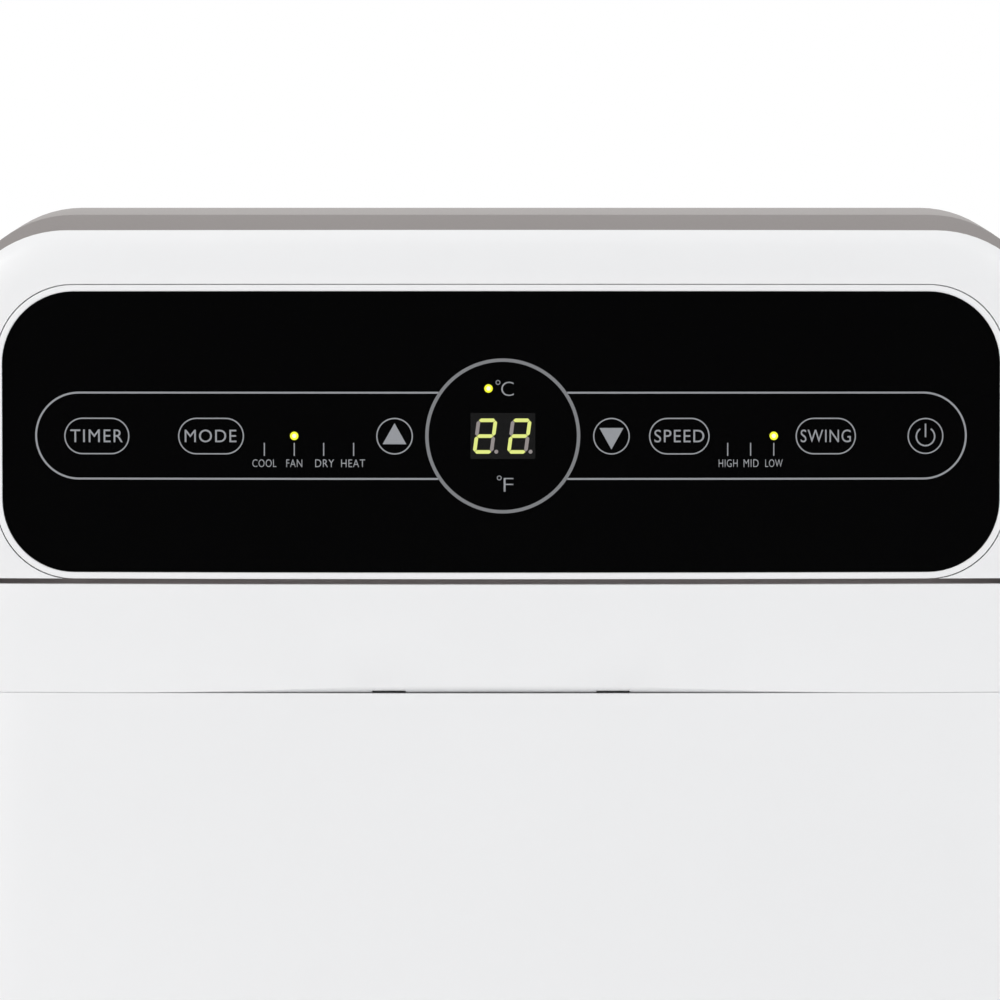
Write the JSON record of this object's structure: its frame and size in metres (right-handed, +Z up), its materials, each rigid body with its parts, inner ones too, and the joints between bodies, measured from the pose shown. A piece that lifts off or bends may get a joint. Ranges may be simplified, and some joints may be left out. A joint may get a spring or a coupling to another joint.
{
  "type": "portable air conditioner",
  "caption": "Upright portable air conditioner on casters: bowed white front with a black touch panel, a full-width louver below it, grey case, rear intakes and exhaust collar.",
  "frame": {"origin": "middle of the footprint, on the floor under the casters", "axes": "+Z up, front faces -Y, +X to the right seen from the front"},
  "size_m": [0.447, 0.37, 0.72],
  "materials": {
    "white_shell": "satin white ABS",
    "grey_case": "warm grey ABS, fine texture",
    "dark_grey": "dark grey ABS",
    "dark_plastic": "black ABS",
    "black_glass": "gloss black acrylic overlay",
    "circuit_board": "glass epoxy board",
    "clear_guide": "clear acrylic",
    "steel": "zinc plated steel",
    "galvanised": "galvanised sheet",
    "motor_steel": "painted motor can",
    "vane_plastic": "dark grey acetal",
    "wheel_plastic": "black rubber tread",
    "filter_mesh": "woven nylon mesh in a frame",
    "foam_white": "white polystyrene",
    "fins": "aluminium fins",
    "copper": "copper tube",
    "black_steel": "black enamel",
    "rubber_feet": "rubber"
  },
  "bodies": {
    "cabinet": {"base_tray": "dark_grey", "chassis_frame": "galvanised", "compressor": "black_steel", "compressor_grommets": "rubber_feet", "condenser_coil": "fins", "condenser_fan_housing": "dark_plastic", "condenser_fan_motor": "motor_steel", "control_board": "circuit_board", "control_overlay": "black_glass", "cord_gland": "dark_plastic", "cord_hooks": "grey_case", "digit_display": "dark_plastic", "drain_deck": "foam_white", "electrics_box": "galvanised", "evaporator_coil": "fins", "exhaust_collar": "dark_grey", "exhaust_duct": "dark_plastic", "fan_motor": "motor_steel", "front_lower_panel": "white_shell", "front_upper_frame": "white_shell", "light_guides": "clear_guide", "louver_motor": "motor_steel", "main_board": "circuit_board", "outlet_duct": "dark_plastic", "panel_bezel": "white_shell", "rear_panel": "grey_case", "rear_screws": "steel", "refrigerant_circuit": "copper", "side_panel_left": "grey_case", "side_panel_right": "grey_case", "top_cover": "grey_case", "touch_springs": "steel"},
    "louver": {"louver_flap": "white_shell", "louver_pins": "steel"},
    "louver_pinion": {"louver_pinion": "vane_plastic"},
    "vane_link_left": {"vane_link_left": "vane_plastic"},
    "vane_left1": {"vane_left1": "vane_plastic"},
    "vane_left2": {"vane_left2": "vane_plastic"},
    "vane_left3": {"vane_left3": "vane_plastic"},
    "vane_left4": {"vane_left4": "vane_plastic"},
    "vane_link_right": {"vane_link_right": "vane_plastic"},
    "vane_right1": {"vane_right1": "vane_plastic"},
    "vane_right2": {"vane_right2": "vane_plastic"},
    "vane_right3": {"vane_right3": "vane_plastic"},
    "vane_right4": {"vane_right4": "vane_plastic"},
    "fan": {"fan_wheel": "dark_plastic"},
    "condenser_fan": {"condenser_fan_wheel": "dark_plastic"},
    "upper_intake": {"upper_grille": "grey_case", "upper_filter": "filter_mesh"},
    "lower_intake": {"lower_grille": "grey_case", "lower_filter": "filter_mesh"},
    "drain_cap": {"drain_cap": "dark_plastic"},
    "caster_front_left": {"caster_fork_front_left": "dark_plastic"},
    "caster_roller_front_left": {"caster_wheel_front_left": "wheel_plastic"},
    "caster_front_right": {"caster_fork_front_right": "dark_plastic"},
    "caster_roller_front_right": {"caster_wheel_front_right": "wheel_plastic"},
    "caster_rear_left": {"caster_fork_rear_left": "dark_plastic"},
    "caster_roller_rear_left": {"caster_wheel_rear_left": "wheel_plastic"},
    "caster_rear_right": {"caster_fork_rear_right": "dark_plastic"},
    "caster_roller_rear_right": {"caster_wheel_rear_right": "wheel_plastic"}
  },
  "joints": [
    {"name": "louver_hinge", "type": "hinge", "parent": "cabinet", "child": "louver", "pos_m": [0, -0.18, 0.5277], "axis": [1, 0, 0], "range_deg": [0, 60]},
    {"name": "louver_pinion_spin", "type": "hinge", "parent": "cabinet", "child": "louver_pinion", "pos_m": [0.1915, -0.14993, 0.53865], "axis": [1, 0, 0], "range_deg": [-262, 2]},
    {"name": "vane_link_left_slide", "type": "slide", "parent": "cabinet", "child": "vane_link_left", "axis": [1, 0, 0], "range_m": [-0.0059, 0.0059]},
    {"name": "vane_left1_turn", "type": "hinge", "parent": "cabinet", "child": "vane_left1", "pos_m": [-0.009, -0.15, 0.545], "axis": [0, 0, 1], "range_deg": [-26, 26]},
    {"name": "vane_left2_turn", "type": "hinge", "parent": "cabinet", "child": "vane_left2", "pos_m": [-0.056, -0.15, 0.545], "axis": [0, 0, 1], "range_deg": [-26, 26]},
    {"name": "vane_left3_turn", "type": "hinge", "parent": "cabinet", "child": "vane_left3", "pos_m": [-0.103, -0.15, 0.545], "axis": [0, 0, 1], "range_deg": [-26, 26]},
    {"name": "vane_left4_turn", "type": "hinge", "parent": "cabinet", "child": "vane_left4", "pos_m": [-0.15, -0.15, 0.545], "axis": [0, 0, 1], "range_deg": [-26, 26]},
    {"name": "vane_link_right_slide", "type": "slide", "parent": "cabinet", "child": "vane_link_right", "axis": [1, 0, 0], "range_m": [-0.0059, 0.0059]},
    {"name": "vane_right1_turn", "type": "hinge", "parent": "cabinet", "child": "vane_right1", "pos_m": [0.009, -0.15, 0.545], "axis": [0, 0, 1], "range_deg": [-26, 26]},
    {"name": "vane_right2_turn", "type": "hinge", "parent": "cabinet", "child": "vane_right2", "pos_m": [0.056, -0.15, 0.545], "axis": [0, 0, 1], "range_deg": [-26, 26]},
    {"name": "vane_right3_turn", "type": "hinge", "parent": "cabinet", "child": "vane_right3", "pos_m": [0.103, -0.15, 0.545], "axis": [0, 0, 1], "range_deg": [-26, 26]},
    {"name": "vane_right4_turn", "type": "hinge", "parent": "cabinet", "child": "vane_right4", "pos_m": [0.15, -0.15, 0.545], "axis": [0, 0, 1], "range_deg": [-26, 26]},
    {"name": "fan_spin", "type": "hinge", "parent": "cabinet", "child": "fan", "pos_m": [0, -0.075, 0.5447], "axis": [1, 0, 0], "continuous": true},
    {"name": "condenser_fan_spin", "type": "hinge", "parent": "cabinet", "child": "condenser_fan", "pos_m": [0.06, 0.05, 0.174], "axis": [0, 1, 0], "continuous": true},
    {"name": "upper_intake_pull", "type": "slide", "parent": "cabinet", "child": "upper_intake", "axis": [0, 1, 0], "range_m": [0, 0.05]},
    {"name": "lower_intake_pull", "type": "slide", "parent": "cabinet", "child": "lower_intake", "axis": [0, 1, 0], "range_m": [0, 0.05]},
    {"name": "drain_cap_pull", "type": "slide", "parent": "cabinet", "child": "drain_cap", "axis": [0, 1, 0], "range_m": [0, 0.02]},
    {"name": "caster_swivel_front_left", "type": "hinge", "parent": "cabinet", "child": "caster_front_left", "pos_m": [-0.1755, -0.127, 0.05], "axis": [0, 0, 1], "continuous": true},
    {"name": "caster_roll_front_left", "type": "hinge", "parent": "caster_front_left", "child": "caster_roller_front_left", "pos_m": [-0.1755, -0.115, 0.02], "axis": [1, 0, 0], "continuous": true},
    {"name": "caster_swivel_front_right", "type": "hinge", "parent": "cabinet", "child": "caster_front_right", "pos_m": [0.1755, -0.127, 0.05], "axis": [0, 0, 1], "continuous": true},
    {"name": "caster_roll_front_right", "type": "hinge", "parent": "caster_front_right", "child": "caster_roller_front_right", "pos_m": [0.1755, -0.115, 0.02], "axis": [1, 0, 0], "continuous": true},
    {"name": "caster_swivel_rear_left", "type": "hinge", "parent": "cabinet", "child": "caster_rear_left", "pos_m": [-0.1755, 0.115, 0.05], "axis": [0, 0, 1], "continuous": true},
    {"name": "caster_roll_rear_left", "type": "hinge", "parent": "caster_rear_left", "child": "caster_roller_rear_left", "pos_m": [-0.1755, 0.127, 0.02], "axis": [1, 0, 0], "continuous": true},
    {"name": "caster_swivel_rear_right", "type": "hinge", "parent": "cabinet", "child": "caster_rear_right", "pos_m": [0.1755, 0.115, 0.05], "axis": [0, 0, 1], "continuous": true},
    {"name": "caster_roll_rear_right", "type": "hinge", "parent": "caster_rear_right", "child": "caster_roller_rear_right", "pos_m": [0.1755, 0.127, 0.02], "axis": [1, 0, 0], "continuous": true}
  ],
  "couplings": [
    {"joint": "louver_pinion_spin", "follows": "louver_hinge", "ratio": -4.3333},
    {"joint": "vane_left1_turn", "follows": "vane_link_left_slide", "rad_per_m": -73.746},
    {"joint": "vane_left2_turn", "follows": "vane_link_left_slide", "rad_per_m": -73.746},
    {"joint": "vane_left3_turn", "follows": "vane_link_left_slide", "rad_per_m": -73.746},
    {"joint": "vane_left4_turn", "follows": "vane_link_left_slide", "rad_per_m": -73.746},
    {"joint": "vane_right1_turn", "follows": "vane_link_right_slide", "rad_per_m": -73.746},
    {"joint": "vane_right2_turn", "follows": "vane_link_right_slide", "rad_per_m": -73.746},
    {"joint": "vane_right3_turn", "follows": "vane_link_right_slide", "rad_per_m": -73.746},
    {"joint": "vane_right4_turn", "follows": "vane_link_right_slide", "rad_per_m": -73.746}
  ]
}
